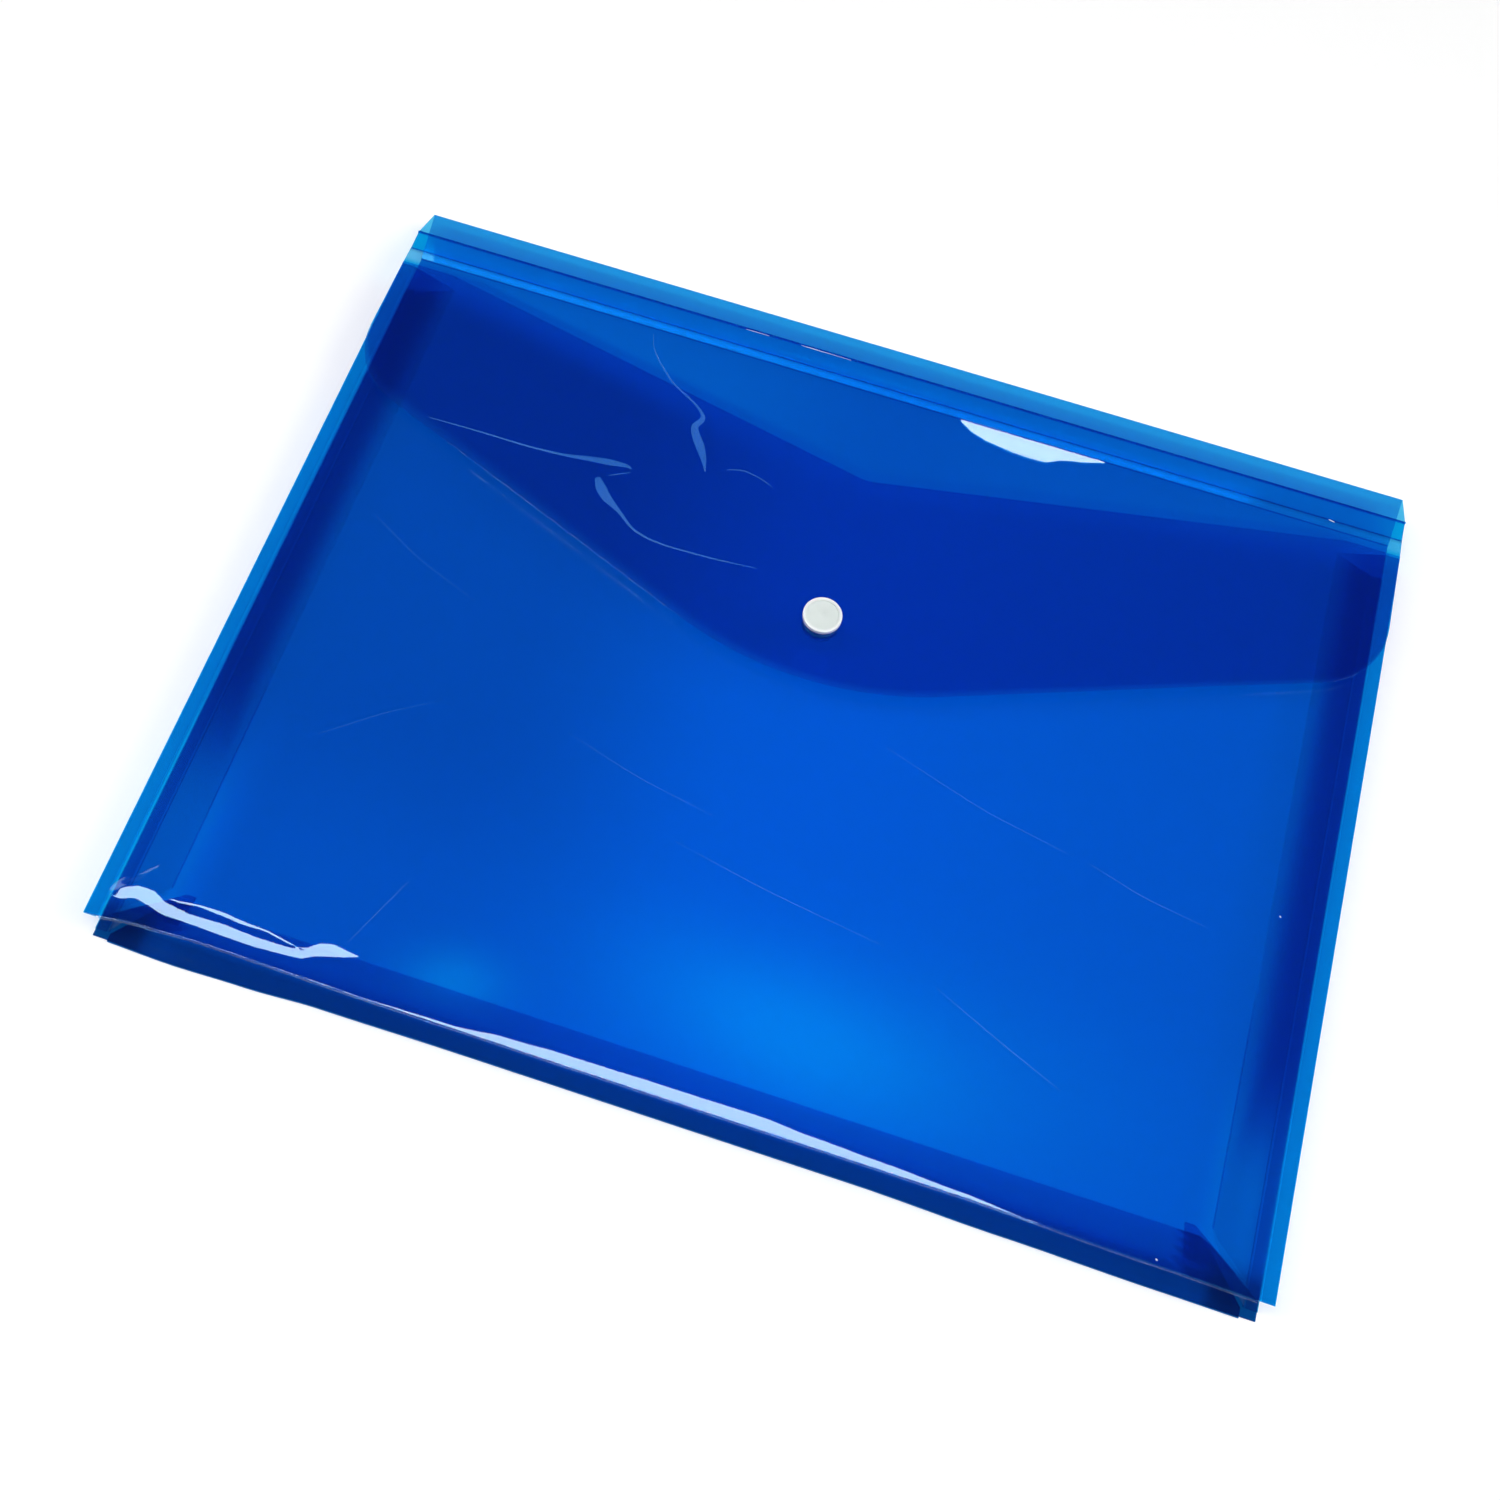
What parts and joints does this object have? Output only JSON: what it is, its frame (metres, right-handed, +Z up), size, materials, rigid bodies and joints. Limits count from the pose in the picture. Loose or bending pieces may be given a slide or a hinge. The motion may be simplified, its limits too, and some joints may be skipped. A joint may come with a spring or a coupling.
{
  "type": "expanding document wallet",
  "caption": "Landscape envelope wallet of clear blue film with pleated side and bottom gussets, a pointed flap over a dipped front edge, and a press stud.",
  "frame": {"origin": "on the table under the middle of the wallet as it lies on its back", "axes": "+X across the wallet to its right side, +Y from the bottom fold to the spine, +Z up through the front panel"},
  "size_m": [0.335, 0.2648, 0.0206],
  "materials": {
    "blue_film": "glossy clear film with fine scratches",
    "gusset_film": "glossy clear film",
    "white_plastic": "satin moulded",
    "clear_plastic": "satin moulded"
  },
  "bodies": {
    "back": {"back_panel": "blue_film", "left_rear_weld_flange": "gusset_film", "right_rear_weld_flange": "gusset_film"},
    "bottom_rear": {"bottom_gusset_rear_leaf": "blue_film"},
    "bottom_front": {"bottom_gusset_front_leaf": "blue_film", "left_corner_tab": "gusset_film", "right_corner_tab": "gusset_film"},
    "front": {"front_panel": "blue_film", "left_front_weld_flange": "gusset_film", "right_front_weld_flange": "gusset_film", "stud_knob": "clear_plastic", "stud_back_cap": "white_plastic"},
    "left_rear": {"left_gusset_rear_leaf": "gusset_film"},
    "left_front": {"left_gusset_front_leaf": "gusset_film"},
    "right_rear": {"right_gusset_rear_leaf": "gusset_film"},
    "right_front": {"right_gusset_front_leaf": "gusset_film"},
    "spine_rear": {"spine_rear_strip": "blue_film"},
    "spine_front": {"spine_front_strip": "blue_film"},
    "crown": {"flap_crown_strip": "blue_film"},
    "flap": {"flap": "blue_film", "stud_socket": "clear_plastic", "stud_cap": "white_plastic"}
  },
  "joints": [
    {"name": "expand", "type": "hinge", "parent": "back", "child": "bottom_rear", "pos_m": [0, -0.1324, 0.00055], "axis": [1, 0, 0], "range_deg": [-21, 29.5]},
    {"name": "bottom_fold", "type": "hinge", "parent": "bottom_rear", "child": "bottom_front", "pos_m": [0, -0.11934, 0.00755], "axis": [-1, 0, 0], "range_deg": [-48, 65]},
    {"name": "front_panel_rise", "type": "hinge", "parent": "bottom_front", "child": "front", "pos_m": [0, -0.1324, 0.01455], "axis": [1, 0, 0], "range_deg": [-24, 32.5]},
    {"name": "left_gusset_turn", "type": "hinge", "parent": "back", "child": "left_rear", "pos_m": [-0.1635, -0.0134, 0.00055], "axis": [0, -1, 0], "range_deg": [-24, 32.5]},
    {"name": "left_gusset_fold", "type": "hinge", "parent": "left_rear", "child": "left_front", "pos_m": [-0.15044, -0.0134, 0.00755], "axis": [0, 1, 0], "range_deg": [-48, 65]},
    {"name": "right_gusset_turn", "type": "hinge", "parent": "back", "child": "right_rear", "pos_m": [0.1635, -0.0134, 0.00055], "axis": [0, 1, 0], "range_deg": [-24, 32.5]},
    {"name": "right_gusset_fold", "type": "hinge", "parent": "right_rear", "child": "right_front", "pos_m": [0.15044, -0.0134, 0.00755], "axis": [0, -1, 0], "range_deg": [-48, 65]},
    {"name": "spine_turn", "type": "hinge", "parent": "back", "child": "spine_rear", "pos_m": [0, 0.1191, 0.00055], "axis": [1, 0, 0], "range_deg": [-24, 32.5]},
    {"name": "spine_fold", "type": "hinge", "parent": "spine_rear", "child": "spine_front", "pos_m": [0, 0.13216, 0.00755], "axis": [-1, 0, 0], "range_deg": [-48, 65]},
    {"name": "crown_turn", "type": "hinge", "parent": "spine_front", "child": "crown", "pos_m": [0, 0.1191, 0.01455], "axis": [1, 0, 0], "range_deg": [-24, 32.5]},
    {"name": "flap_open", "type": "hinge", "parent": "crown", "child": "flap", "pos_m": [0, 0.1117, 0.01525], "axis": [-1, 0, 0], "range_deg": [0, 170]}
  ],
  "couplings": [
    {"joint": "bottom_fold", "follows": "expand", "ratio": 2},
    {"joint": "front_panel_rise", "follows": "expand", "ratio": 1},
    {"joint": "left_gusset_turn", "follows": "expand", "ratio": 1},
    {"joint": "left_gusset_fold", "follows": "expand", "ratio": 2},
    {"joint": "right_gusset_turn", "follows": "expand", "ratio": 1},
    {"joint": "right_gusset_fold", "follows": "expand", "ratio": 2},
    {"joint": "spine_turn", "follows": "expand", "ratio": 1},
    {"joint": "spine_fold", "follows": "expand", "ratio": 2},
    {"joint": "crown_turn", "follows": "expand", "ratio": 1}
  ]
}
